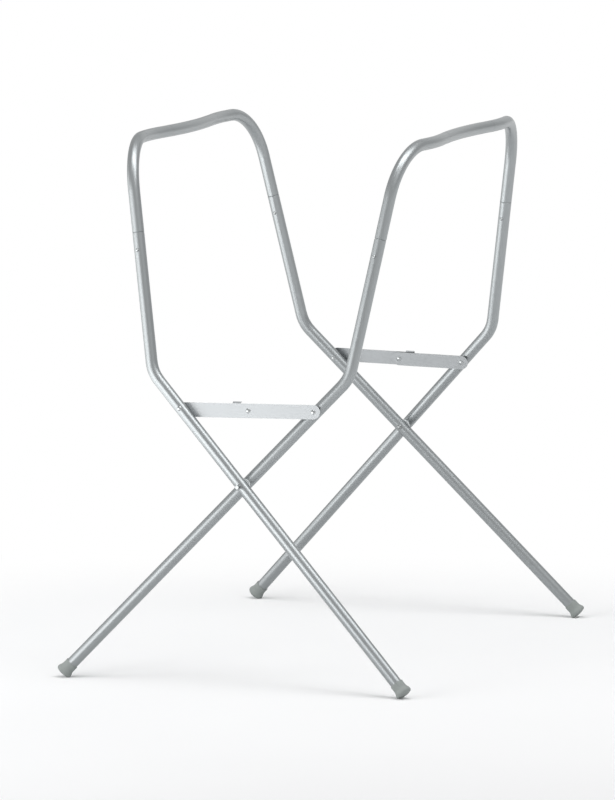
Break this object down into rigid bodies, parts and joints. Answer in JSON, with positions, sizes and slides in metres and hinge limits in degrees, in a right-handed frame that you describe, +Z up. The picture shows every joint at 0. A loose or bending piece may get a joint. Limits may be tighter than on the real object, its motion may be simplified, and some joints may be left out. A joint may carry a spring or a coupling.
{
  "type": "baby bath stand",
  "caption": "Folding floor stand for a baby bath: two crossed bent-tube frames with plug-on hoops, held open by hinged flat-bar stays and standing on flared foot caps.",
  "frame": {"origin": "on the floor, midway between the four feet", "axes": "+X to the right along the front side, +Y from the front side to the back, +Z up"},
  "size_m": [0.633, 0.9608, 0.8983],
  "materials": {
    "tube": "satin metallic silver-grey",
    "bar": "satin light grey, flat steel bar",
    "rivet": "bright zinc",
    "cap": "matt grey",
    "spacer": "pale grey"
  },
  "bodies": {
    "frame_a": {"upper_hoop_a": "tube", "leg_front_a": "tube", "leg_back_a": "tube", "foot_cap_front_a": "cap", "foot_cap_back_a": "cap", "crossing_pin_front": "rivet", "crossing_spacer_front": "spacer", "stay_rivet_front_a": "rivet", "stay_rivet_back_a": "rivet", "snap_spring_front_a": "rivet", "snap_spring_back_a": "rivet"},
    "frame_b": {"upper_hoop_b": "tube", "leg_front_b": "tube", "leg_back_b": "tube", "foot_cap_front_b": "cap", "foot_cap_back_b": "cap", "crossing_pin_back": "rivet", "crossing_spacer_back": "spacer", "stay_rivet_front_b": "rivet", "stay_rivet_back_b": "rivet", "snap_spring_front_b": "rivet", "snap_spring_back_b": "rivet"},
    "stay_front_a": {"stay_bar_front_a": "bar", "middle_rivet_tail_front": "rivet"},
    "stay_front_b": {"stay_bar_front_b": "bar", "middle_rivet_head_front": "rivet"},
    "stay_back_a": {"stay_bar_back_a": "bar", "middle_rivet_head_back": "rivet"},
    "stay_back_b": {"stay_bar_back_b": "bar", "middle_rivet_tail_back": "rivet"},
    "button_front_a": {"snap_button_front_a": "rivet"},
    "button_front_b": {"snap_button_front_b": "rivet"},
    "button_back_a": {"snap_button_back_a": "rivet"},
    "button_back_b": {"snap_button_back_b": "rivet"}
  },
  "joints": [
    {"name": "fold", "type": "hinge", "parent": "frame_a", "child": "frame_b", "pos_m": [0, 0, 0.332], "axis": [0, -1, 0], "range_deg": [0, 44]},
    {"name": "stay_front_a_turn", "type": "hinge", "parent": "frame_a", "child": "stay_front_a", "pos_m": [-0.1148, -0.3852, 0.453], "axis": [0, -0.9835, 0.1809], "range_deg": [0, 80.4]},
    {"name": "stay_front_b_turn", "type": "hinge", "parent": "frame_b", "child": "stay_front_b", "pos_m": [0.1148, -0.36029, 0.453], "axis": [0, 0.9835, -0.1809], "range_deg": [0, 78.8]},
    {"name": "stay_back_a_turn", "type": "hinge", "parent": "frame_a", "child": "stay_back_a", "pos_m": [-0.1148, 0.36029, 0.453], "axis": [0, -0.9835, -0.1809], "range_deg": [0, 78.8]},
    {"name": "stay_back_b_turn", "type": "hinge", "parent": "frame_b", "child": "stay_back_b", "pos_m": [0.1148, 0.3852, 0.453], "axis": [0, 0.9835, 0.1809], "range_deg": [0, 80.4]},
    {"name": "button_front_a_press", "type": "slide", "parent": "frame_a", "child": "button_front_a", "axis": [0.1672, 0.9749, -0.1469], "range_m": [0, 0.0034], "stiffness_N_per_m": 2000, "springref_m": -0.001, "deforming": ["snap_spring_front_a"]},
    {"name": "button_front_b_press", "type": "slide", "parent": "frame_b", "child": "button_front_b", "axis": [0.1069, 0.9749, -0.1952], "range_m": [0, 0.0034], "stiffness_N_per_m": 2000, "springref_m": -0.001, "deforming": ["snap_spring_front_b"]},
    {"name": "button_back_a_press", "type": "slide", "parent": "frame_a", "child": "button_back_a", "axis": [0.1069, 0.9749, 0.1952], "range_m": [0, 0.0034], "stiffness_N_per_m": 2000, "springref_m": -0.001, "deforming": ["snap_spring_back_a"]},
    {"name": "button_back_b_press", "type": "slide", "parent": "frame_b", "child": "button_back_b", "axis": [0.1672, 0.9749, 0.1469], "range_m": [0, 0.0034], "stiffness_N_per_m": 2000, "springref_m": -0.001, "deforming": ["snap_spring_back_b"]}
  ],
  "couplings": [
    {"joint": "stay_front_a_turn", "follows": "fold", "ratio": 1.8227},
    {"joint": "stay_front_b_turn", "follows": "fold", "ratio": 1.7868},
    {"joint": "stay_back_a_turn", "follows": "fold", "ratio": 1.7868},
    {"joint": "stay_back_b_turn", "follows": "fold", "ratio": 1.8227}
  ]
}
